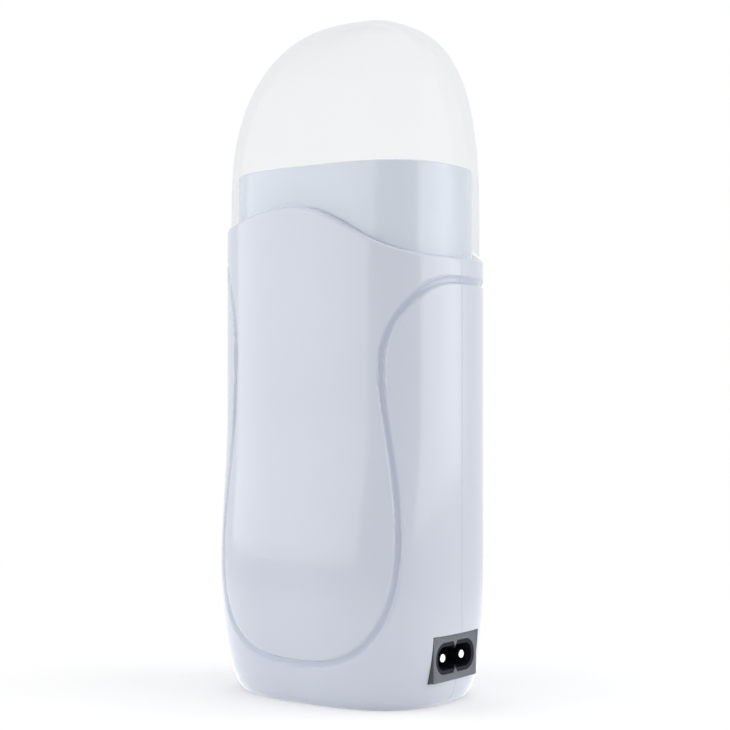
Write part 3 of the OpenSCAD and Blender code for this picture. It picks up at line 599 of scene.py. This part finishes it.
def woven(name, tint):
    """Braided glass fibre: two crossing bands of fine waves."""
    f = Finish(name)
    bands = [
        f.node(
            "ShaderNodeTexWave",
            {"wave_type": "BANDS", "bands_direction": axis},
            {"Vector": f.place, "Scale": 450.0, "Distortion": 1.0, "Detail": 1.0},
            "Fac",
        )
        for axis in ("DIAGONAL", "X")
    ]
    weave = bands[0] * bands[1]
    f.set(
        base_color=f.mixed(weave, shade_of(tint, 0.72), tint),
        roughness=weave * 0.2 + 0.6,
        normal=f.bump(weave, 0.6, 0.00006),
    )
    return f.material


# ---- Pieces --------------------------------------------------------------------------------


def column_turns(h):
    """Turns of the shell's columns: close together where the recessed line stands upright."""
    turn = np.linspace(0, 180, 20001)
    p = outline(turn, h.half_width, h.half_depth, h.squareness)
    gone = np.concatenate([[0], np.cumsum(np.linalg.norm(np.diff(p, axis=0), axis=1))])
    near_inlet, far_side = (turn > 34) & (turn < 55), (turn > 114) & (turn < 134.5)
    fine_step, plain_step = 0.3, 0.75
    at = spaced(1, gone, np.where(near_inlet | far_side, fine_step, plain_step) * MM)
    ends = np.array([0.1, 0.3]) * MM
    at = np.sort(np.concatenate([at, ends, gone[-1] - ends]))
    return np.interp(at, gone, turn)


def shell_mesh(h, c, side):
    """One shell: an outer skin with the line pressed in, an inner one a wall inside it, and
    flat strips that close it along the parting line and round the collar's hole."""
    turn = column_turns(h)[None] * side
    top = shoulder(h, turn)
    hole = outline(turn[0], c.half_width + c.fit, c.half_depth + c.fit, c.squareness)
    belly_top = h.belly_height + h.belly_reach
    base = np.array([0, 0.4, 0.75, 0.94])[:, None, None]
    foot_top, line_bend_top, fine_step, plain_step = 9, 23, 0.35, 1.1
    level = np.concatenate(
        [
            foot_top * MM * np.linspace(0, 1, 14) ** 2,
            np.arange(foot_top + fine_step, line_bend_top, fine_step) * MM,
            np.arange(line_bend_top, belly_top / MM, plain_step) * MM,
        ]
    )[:, None]
    climb = np.concatenate([np.linspace(0, 0.2, 9)[:-1], np.linspace(0.2, 1, 84)])[:, None]
    bend = np.radians(np.linspace(0, 90, 8))[1:, None]

    walls = np.concatenate(
        [
            skin(h, turn, 0 * turn, 0) * base,
            skin(h, turn, level, 0),
            skin(h, turn, belly_top + climb * (top - h.edge - belly_top), 0),
        ]
    )
    line = panel_line(h, side)
    path = evened(skin(h, side * line[:, 0], line[:, 1], 0), 0.2 * MM)
    gap = nearest(walls, path)
    half, brim, slope = h.line_width / 2, 0.15 * MM, 0.62
    press = ease((half + brim - gap) / (half * slope))
    nudge = 0.02
    z = walls[..., 2]
    above, below = z + nudge * MM, np.maximum(z - nudge * MM, 0)
    along = skin(h, turn + nudge, z, 0) - skin(h, turn - nudge, z, 0)
    upward = skin(h, turn, above, 0) - skin(h, turn, below, 0)
    out = np.cross(along, upward)
    out /= np.maximum(np.linalg.norm(out, axis=-1, keepdims=True), 1e-12)
    sunk = h.line_depth * press
    sunk[:, [0, -1]] += h.seam
    sunk[: len(base) + 1] = 0
    walls = walls - out * sunk[..., None]

    edges = [
        skin(h, turn, top - h.edge * (1 - np.sin(b)), h.edge * (1 - np.cos(b))) for b in bend
    ]
    outer = np.concatenate([walls, *edges, [with_height(hole, top[0])]])

    low = h.wall + level * (h.rounding - h.wall) / h.rounding
    under = skin(h, turn, top - h.lip, h.wall)
    hem = with_height(hole, top[0] - h.lip)[None]
    inner = np.concatenate(
        [
            skin(h, turn, h.wall + 0 * turn, h.wall) * [1, 1, 0] * base + [0, 0, h.wall],
            skin(h, turn, np.where(level < h.rounding, low, level), h.wall),
            skin(h, turn, belly_top + climb * (top - h.lip - belly_top), h.wall),
            *[under + (hem - under) * k / (len(bend) + 1) for k in range(1, len(bend) + 1)],
            hem,
        ]
    )
    rows, columns = outer.shape[:2]
    both = rows * columns
    index = np.arange(both).reshape(rows, columns)
    rim = np.concatenate([index[:, 0], index[-1, 1:], index[::-1, -1][1:]])
    strip = np.stack([rim[:-1], rim[1:], rim[1:] + both, rim[:-1] + both], -1)
    faces = grid_faces(rows, columns)
    # The mask marks the recessed line, where the housing's finish paints shade.
    mask = np.zeros((2, rows, columns))
    mask[0, : len(press)] = press
    return closed_mesh(
        f"shell{side}",
        np.concatenate([outer.reshape(-1, 3), inner.reshape(-1, 3)]),
        np.concatenate([faces, faces + both, strip]),
        mask,
    )


def inlet_window(h, n):
    """Cutter for the window that the inlet's frame shows through."""
    y, z, behind = n.width / 2 + n.fit, n.height / 2 + n.fit, 1.7 * MM
    return block(
        "window",
        (n.face_x - n.depth - behind, -n.forward - y, n.centre_z - z),
        (h.half_width + MM, -n.forward + y, n.centre_z + z),
    )


class HEATER_OT_housing(bpy.types.Operator):
    """Makes the two housing shells"""

    bl_idname = "heater.housing"
    bl_label = "Housing shells"

    def execute(self, context):
        scene = context.scene
        h, c, n = scene.heater_housing, scene.heater_collar, scene.heater_inlet
        tints = scene.heater_finishes
        # tints.line paints shade into the recessed line.
        finish = moulded("housing_plastic", tints.housing, tints.line)
        front = carved(shell_mesh(h, c, -1), [("DIFFERENCE", inlet_window(h, n))])

        def under_skin(x, z):
            """Y of the rear skin over a point, less half the wall."""
            draw = drawn_in(h, z)
            wide, deep = h.half_width - h.inset_side * draw, h.half_depth - h.inset_front * draw
            share = np.clip(1 - np.abs(x / wide) ** h.squareness, 0, 1)
            return deep * share ** (1 / h.squareness) - h.wall / 2

        changes = []
        start, boss_radius, hole_radius = 0.3 * MM, n.well_radius + 1.2 * MM, 1.6 * MM
        seat, outside = n.screw_seat_y, h.half_depth + 5 * MM
        for x in (n.screw_far_x, n.screw_near_x):
            boss = rod("boss", x, n.screw_z, start, under_skin, boss_radius)
            changes.append(("UNION", boss))
        for x in (n.screw_far_x, n.screw_near_x):
            well = rod("well", x, n.screw_z, seat, outside, n.well_radius)
            hole = rod("hole", x, n.screw_z, -MM, seat + MM, hole_radius)
            changes += [("DIFFERENCE", well), ("DIFFERENCE", hole)]
        changes.append(("DIFFERENCE", inlet_window(h, n)))
        rear = carved(shell_mesh(h, c, 1), changes)
        for name, mesh in (("front_shell", front), ("rear_shell", rear)):
            shaded(mesh)
            piece(f"{name}_skin", mesh, "heater", "housing", finish, name)
        return {"FINISHED"}


class HEATER_OT_collar(bpy.types.Operator):
    """Makes the collar with the cartridge pocket inside it"""

    bl_idname = "heater.collar"
    bl_label = "Collar and pocket"

    def execute(self, context):
        c = context.scene.heater_collar
        turn = np.linspace(0, 360, 6001)
        p = outline(turn, c.half_width, c.half_depth, c.squareness)
        p = evened(p, 0.45 * MM)[:-1]
        angles = np.arctan2(p[:, 1], p[:, 0])

        def oval(inside, z):
            """Ring of the collar, a distance inside its outer face."""
            ring = outline(turn[:-1], c.half_width - inside, c.half_depth - inside, c.squareness)
            return with_height(ray_ring(ring, angles), z)

        def pocket(out, z, limit=None):
            """Ring a distance outside the pocket, drawn in to a limiting ring."""
            ring = rounded_rectangle(c.pocket_x + out, c.pocket_y + out, c.pocket_corner + out)
            found = ray_ring(ring, angles, (0, -c.forward))
            if limit is not None:
                reach = np.linalg.norm(limit[:, :2], axis=1) / np.linalg.norm(found, axis=1)
                found = found * np.minimum(1, reach)[:, None]
            return with_height(found, z)

        rim, floor = c.rim_z, c.pocket_floor
        mouth, edge, fillet, floor_wall = 0.45 * MM, 0.5 * MM, 0.9 * MM, 1.6 * MM
        floor_inset = 12 * MM
        upright = rim - mouth - floor - fillet
        inner_edge = pocket(mouth, rim)
        outer_edge = oval(edge, rim)
        underside = rim - c.rim_thickness
        skirt = oval(c.skirt, c.skirt_z)
        snug = oval(c.skirt + 0.05 * MM, 0)
        bend = np.radians(np.linspace(0, 90, 7))
        rings = [
            with_height(0 * p + [0, -c.forward], floor),
            pocket(-floor_inset, floor),
            *[pocket(-fillet * (1 - np.sin(a)), floor + fillet * (1 - np.cos(a))) for a in bend],
            *[pocket(0, floor + fillet + upright * k / 6) for k in range(1, 7)],
            *[pocket(mouth * (1 - np.cos(a)), rim - mouth * (1 - np.sin(a))) for a in bend[1:]],
            *[inner_edge + (outer_edge - inner_edge) * k / 4 for k in range(1, 5)],
            *[oval(edge * (1 - np.sin(a)), rim - edge * (1 - np.cos(a))) for a in bend[1:]],
            *[oval(0, rim - edge + (c.skirt_z - rim + edge) * k / 5) for k in range(1, 6)],
            skirt,
            oval(c.skirt, underside),
            pocket(c.pocket_wall, underside, snug),
            pocket(c.pocket_wall, c.skirt_z - MM, snug),
            pocket(c.pocket_wall, floor - floor_wall),
            with_height(0 * p + [0, -c.forward], floor - floor_wall),
        ]
        low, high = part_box("heater_plate")
        overlap = 1.3 * MM
        window = block(
            "window",
            (-c.window_x, 0, low.z + overlap),
            (c.window_x, c.pocket_y + 5 * MM, high.z - overlap),
        )
        mesh = carved(solid_of_rings("collar", rings), [("DIFFERENCE", window)])
        shaded(mesh, 40)
        finish = moulded("collar_plastic", context.scene.heater_finishes.collar, roughness=0.18)
        piece("collar_and_pocket", mesh, "heater", "collar", finish, "cartridge_sleeve")
        return {"FINISHED"}


class HEATER_OT_cap(bpy.types.Operator):
    """Makes the clear domed cap"""

    bl_idname = "heater.cap"
    bl_label = "Clear cap"

    def execute(self, context):
        scene = context.scene
        h, c, k = scene.heater_housing, scene.heater_collar, scene.heater_cap
        turn = np.linspace(0, 360, 12001)
        wide, deep = c.half_width + k.gap + k.wall, c.half_depth + k.gap + k.wall
        p = outline(turn, wide, deep, c.squareness)
        gone = np.concatenate([[0], np.cumsum(np.linalg.norm(np.diff(p, axis=0), axis=1))])
        turn = np.interp(np.linspace(0, gone[-1], 361)[:-1], gone, turn)
        start_z = c.rim_z - k.start
        edge = shoulder(h, turn) + k.seat
        foot = edge + k.wall / 2
        least_side = 0.3 * MM
        begin = np.maximum(start_z, foot + least_side)

        def ring(inside, z, share=1.0):
            """Ring of the wall at a height, shifted by the square of its way up the dome."""
            flat = outline(turn, (wide - inside) * share, (deep - inside) * share, c.squareness)
            rise = np.maximum(z - c.rim_z, 0) / (k.top_z - c.rim_z)
            shift = np.stack([k.lean * rise**2 + 0 * turn, 0 * turn], -1)
            return with_height(flat + shift, z)

        def dome(inside):
            """Rings to the top: the powers of the height's and the width's share add up to 1."""
            a = np.linspace(0, np.pi / 2, 56)[1:, None]
            rise = begin + (k.top_z - inside - begin) * np.sin(a) ** (2 / k.squareness)
            up = np.round((rise - start_z) / (k.top_z - inside - start_z), 12)
            share = (1 - np.clip(up, 0, 1) ** k.squareness) ** (1 / k.squareness)
            return [ring(inside, z, s) for z, s in zip(rise, share)]

        def side(inside):
            """Rings from the wavy foot up to where the dome begins."""
            return [ring(inside, foot + (begin - foot) * t) for t in np.linspace(0, 1, 10)]

        lip = [
            ring(k.wall * (1 - np.cos(a)) / 2, edge + k.wall / 2 * (1 - np.sin(a)))
            for a in np.linspace(np.pi, 0, 9)[1:-1]
        ]
        inner = [*side(k.wall), *dome(k.wall)][::-1]
        outer = [*side(0), *dome(0)]
        marks = np.repeat([1, 1, 0], [len(inner), len(lip), len(outer)])
        mesh = solid_of_rings("cap", [*inner, *lip, *outer], marks)
        shaded(mesh, 50)
        finish = clear_plastic("clear_plastic", scene.heater_finishes.cap)
        piece("clear_dome", mesh, "cap", "clear", finish, "clear_cap")
        return {"FINISHED"}


class HEATER_OT_inlet(bpy.types.Operator):
    """Makes the grey frame of the mains inlet and finishes the socket and its pins"""

    bl_idname = "heater.inlet"
    bl_label = "Mains inlet"

    def execute(self, context):
        n = context.scene.heater_inlet
        tints = context.scene.heater_finishes
        apex = math.pi / 2
        notch = math.atan2(n.opening_height / 2, n.notch_width / 2)
        exact = [apex, notch, math.pi - notch, apex - 1e-3, apex + 1e-3]
        angles = np.linspace(-np.pi, np.pi, 420, endpoint=False)
        angles = np.unique(np.concatenate([angles, exact, [-e for e in exact]]))

        def frame_ring(inside, x):
            """Rounded rectangle, a distance inside the frame's outer one."""
            half_y, half_z = n.width / 2 - inside, n.height / 2 - inside
            corner = max(n.corner - inside, 0.1 * MM)
            return standing(ray_ring(rounded_rectangle(half_y, half_z, corner), angles), x)

        def opening_ring(inside, x):
            """Oblong opening whose long sides have a V notch that points inwards."""
            notch_follows = 0.6
            half_y, half_z = n.opening_width / 2 - inside, n.opening_height / 2 - inside
            ring = ray_ring(rounded_rectangle(half_y, half_z, n.opening_corner - inside), angles)
            half_notch = (n.notch_width + inside) / 2
            depth_at = n.opening_height / 2 - n.notch_depth - inside * notch_follows
            slope = (n.opening_height / 2 - depth_at) / half_notch
            c, s = np.abs(np.cos(angles)), np.abs(np.sin(angles))
            reach = depth_at / np.maximum(s - slope * c, 1e-6)
            reach = np.where(s > slope * c, reach, 1.0)
            radius = np.minimum(np.linalg.norm(ring, axis=1), reach)
            flat = np.stack([radius * np.cos(angles), radius * np.sin(angles)], -1)
            return standing(flat, x)

        def standing(flat, x):
            """Ring in the YZ plane at a place along X."""
            y, z = flat[:, 0] - n.forward, flat[:, 1] + n.centre_z
            return np.stack([x + 0 * y, y, z], -1)

        face, back, bevel, lead = n.face_x, n.face_x - n.depth, 0.22 * MM, 0.18 * MM
        rings = [
            frame_ring(0, back),
            frame_ring(0, face - bevel),
            frame_ring(bevel * 0.3, face - bevel * 0.3),
            frame_ring(bevel, face),
            opening_ring(-lead, face),
            opening_ring(-lead * 0.3, face - lead * 0.3),
            opening_ring(0, face - lead),
            opening_ring(0, back),
        ]
        faces = grid_faces(len(rings), len(angles), wrap=True, closed=True)
        # The first two rings mark the frame's outer walls, where its finish paints shade.
        marks = np.repeat([1, 1, 0, 0, 0, 0, 0, 0], len(angles))
        mesh = closed_mesh("frame", np.concatenate(rings), faces, marks)
        shaded(mesh, 30)
        # The frame's finish paints shade on its marked walls.
        finish = grained("frame_plastic", tints.frame, 0.5, 0.00035, 0.00002, side=tints.frame_side_shade)
        piece("inlet_frame", mesh, "heater", "grey_frame", finish, "inlet_bezel")
        black = grained("socket_plastic", tints.socket, 0.55, 0.0003, 0.00001, gloss=0.12)
        dress("inlet_body", black)
        plated = metal("pin_plating", (0.86, 0.86, 0.85), 0.16, (14, 1, 1), depth=0.000004)
        dress("line_pin", plated)
        dress("neutral_pin", plated)
        return {"FINISHED"}


def dress(node, finish):
    """Gives a carried-over CAD node its finish."""
    mesh = NODES[node].data
    mesh.materials.clear()
    mesh.materials.append(finish)


class HEATER_OT_heating(bpy.types.Operator):
    """Finishes the heating plate, the parts behind it, the wires and the screws"""

    bl_idname = "heater.heating"
    bl_label = "Heater, wires and screws"

    def execute(self, context):
        aluminium = metal("drawn_aluminium", (0.72, 0.73, 0.74), 0.36, (1, 1, 0.03), 0.0005)
        brass = metal("contact_brass", (0.78, 0.62, 0.30), 0.3, (1, 1, 0.05))
        spring = metal("spring_steel", (0.56, 0.57, 0.58), 0.32, (0.05, 1, 1))
        tinned = metal("tinned_brass", (0.74, 0.74, 0.72), 0.3, (0.1, 1, 1), 0.0006)
        zinc = metal("zinc_plating", (0.60, 0.62, 0.64), 0.34, (1, 1, 1), 0.0012)
        film = moulded("amber_film", (0.72, 0.40, 0.07), roughness=0.25)
        ceramic = grained("heating_ceramic", (0.05, 0.05, 0.055), 0.6, 0.0004, 0.00002)
        looks = {
            "heater_plate": aluminium,
            "inner_electrode": brass,
            "outer_electrode": brass,
            "clamp_bridge": spring,
            "fuse_clip": spring,
            "thermal_fuse": tinned,
            "line_terminal": tinned,
            "neutral_terminal": tinned,
            "lead_crimps": tinned,
            "plate_screws": zinc,
            "housing_screws": zinc,
            "inner_insulator": film,
            "outer_insulator": film,
            "ptc_stones": ceramic,
            "fuse_sleeve": woven("glass_braid", (0.85, 0.83, 0.74)),
            "line_wire": grained("brown_silicone", (0.13, 0.045, 0.02), 0.45, 0.0008, 0.00001),
            "neutral_wire": grained("blue_silicone", (0.03, 0.09, 0.35), 0.45, 0.0008, 0.00001),
            "fuse_wire": grained("white_silicone", (0.72, 0.72, 0.70), 0.45, 0.0008, 0.00001),
        }
        for node, finish in looks.items():
            dress(node, finish)
        return {"FINISHED"}


# ---- Studio --------------------------------------------------------------------------------


def lamp(name, place, aim, size, radiance):
    """Soft white panel lamp; its power is pi times its area times its radiance."""
    light = bpy.data.lights.new(name, "AREA")
    light.shape, light.size, light.size_y = "RECTANGLE", *size
    light.energy = math.pi * size[0] * size[1] * radiance
    made = bpy.data.objects.new(name, light)
    bpy.context.scene.collection.objects.link(made)
    made.location = place
    back = made.location - type(made.location)(aim)
    made.rotation_euler = back.to_track_quat("Z", "Y").to_euler()


class HEATER_OT_stage(bpy.types.Operator):
    """Sets up the floor, the lamps and the camera"""

    bl_idname = "heater.stage"
    bl_label = "Studio"

    def execute(self, context):
        scene = context.scene
        self.floor(scene.heater_finishes.floor)
        self.surroundings(scene)
        self.panel("left_panel", -36, 1.0, (1.93, 0.9), 1.35)
        self.panel("right_panel", 115, 1.0, (1.15, 0.9), 1.8)
        lamp("top_panel", (0.0, 0.1, 1.1), (0, 0, 0.1), (0.9, 0.9), 1.4)
        around, away, height = math.radians(37.2), 0.4216, 0.0799
        camera = bpy.data.cameras.new("camera")
        camera.sensor_width = 36.0
        camera.lens = 77.28
        camera.shift_x, camera.shift_y = 0.0156, 0.0385
        camera.clip_start, camera.clip_end = 0.01, 50
        seat = bpy.data.objects.new("camera", camera)
        seat.location = (away * math.sin(around), -away * math.cos(around), height)
        seat.rotation_euler = (math.pi / 2, 0, around)
        scene.collection.objects.link(seat)
        scene.camera = seat
        scene.view_settings.view_transform = "Standard"
        return {"FINISHED"}

    def panel(self, name, turn, away, size, radiance):
        """Upright panel on the floor, at a turn in degrees from the front towards the inlet."""
        turn = math.radians(turn)
        place = (away * math.sin(turn), -away * math.cos(turn), size[1] / 2)
        lamp(name, place, (0, 0, size[1] / 2), size, radiance)

    def floor(self, tint):
        """Pale floor that keeps the shadow and reaches white in the picture."""
        reach = 6.0
        corners = np.array([[-1, -1, 0], [1, -1, 0], [1, 1, 0], [-1, 1, 0]]) * reach
        mesh = closed_mesh("floor", corners, np.array([[0, 1, 2, 3]]))
        made = bpy.data.objects.new("floor", mesh)
        bpy.context.scene.collection.objects.link(made)
        f = Finish("floor_paint")
        mesh.materials.append(f.material)
        shadow_end, white_from = 0.08, 0.34
        seen_near, mirrored_near = (0.22, 0.22, 0.22), (0.9, 0.9, 0.9)
        black, full = (0.0, 0.0, 0.0), (1.0, 1.0, 1.0)
        rays = [
            f.node("ShaderNodeLightPath", out=kind)
            for kind in ("Is Camera Ray", "Is Glossy Ray", "Is Transmission Ray")
        ]
        seen = f.node(
            "ShaderNodeMath", {"operation": "MINIMUM"}, {0: rays[0] + rays[1] + rays[2], 1: 1.0}
        )
        away = f.node("ShaderNodeVectorMath", {"operation": "LENGTH"}, {0: f.place}, "Value")
        fade = f.node(
            "ShaderNodeMapRange",
            {"interpolation_type": "SMOOTHSTEP"},
            {"Value": away, "From Min": shadow_end, "From Max": white_from},
        )
        near = f.mixed(rays[1], seen_near, mirrored_near)
        white = f.mixed(fade, near, full)
        f.set(
            base_color=f.mixed(seen * fade, tint[:3], black),
            roughness=0.9,
            specular_ior_level=0.0,
            emission_color=f.mixed(seen, black, white),
            emission_strength=1.0,
        )

    def surroundings(self, scene):
        """White all round in the picture, and about half of that for the light it gives."""
        world = bpy.data.worlds.new("studio")
        scene.world = world
        world.use_nodes = True
        tree = world.node_tree
        tree.nodes.clear()
        out = tree.nodes.new("ShaderNodeOutputWorld")
        shown, given = [tree.nodes.new("ShaderNodeBackground") for _ in range(2)]
        for background, strength in ((shown, 1.0), (given, 0.47)):
            background.inputs["Strength"].default_value = strength
            background.inputs["Color"].default_value = (1, 1, 1, 1)
        path = tree.nodes.new("ShaderNodeLightPath")
        total = path.outputs["Is Camera Ray"]
        for kind in ("Is Glossy Ray", "Is Transmission Ray"):
            add = tree.nodes.new("ShaderNodeMath")
            add.operation = "MAXIMUM"
            tree.links.new(total, add.inputs[0])
            tree.links.new(path.outputs[kind], add.inputs[1])
            total = add.outputs[0]
        mix = tree.nodes.new("ShaderNodeMixShader")
        tree.links.new(total, mix.inputs["Fac"])
        tree.links.new(given.outputs[0], mix.inputs[1])
        tree.links.new(shown.outputs[0], mix.inputs[2])
        tree.links.new(mix.outputs[0], out.inputs["Surface"])


# ---- Panel and registration ----------------------------------------------------------------

GROUPS = {
    "heater_housing": HousingSizes,
    "heater_collar": CollarSizes,
    "heater_cap": CapSizes,
    "heater_inlet": InletSizes,
    "heater_finishes": Finishes,
}
OPERATORS = [
    HEATER_OT_housing,
    HEATER_OT_collar,
    HEATER_OT_cap,
    HEATER_OT_inlet,
    HEATER_OT_heating,
    HEATER_OT_stage,
]


class HEATER_PT_panel(bpy.types.Panel):
    """Lists the sizes and the pieces"""

    bl_idname = "HEATER_PT_panel"
    bl_label = "Wax heater"
    bl_space_type = "VIEW_3D"
    bl_region_type = "UI"
    bl_category = "Wax heater"

    def draw(self, context):
        for name, group in GROUPS.items():
            part = self.layout.box()
            part.label(text=group.__doc__)
            for key in group.__annotations__:
                part.prop(getattr(context.scene, name), key)
        for operator in OPERATORS:
            self.layout.operator(operator.bl_idname)


def register():
    for cls in [*GROUPS.values(), *OPERATORS, HEATER_PT_panel]:
        bpy.utils.register_class(cls)
    for name, group in GROUPS.items():
        setattr(bpy.types.Scene, name, PointerProperty(type=group))


def unregister():
    for name in GROUPS:
        delattr(bpy.types.Scene, name)
    for cls in reversed([*GROUPS.values(), *OPERATORS, HEATER_PT_panel]):
        bpy.utils.unregister_class(cls)


def main():
    register()
    for operator in OPERATORS:
        group, name = operator.bl_idname.split(".")
        getattr(getattr(bpy.ops, group), name)()


if __name__ == "__main__":
    main()
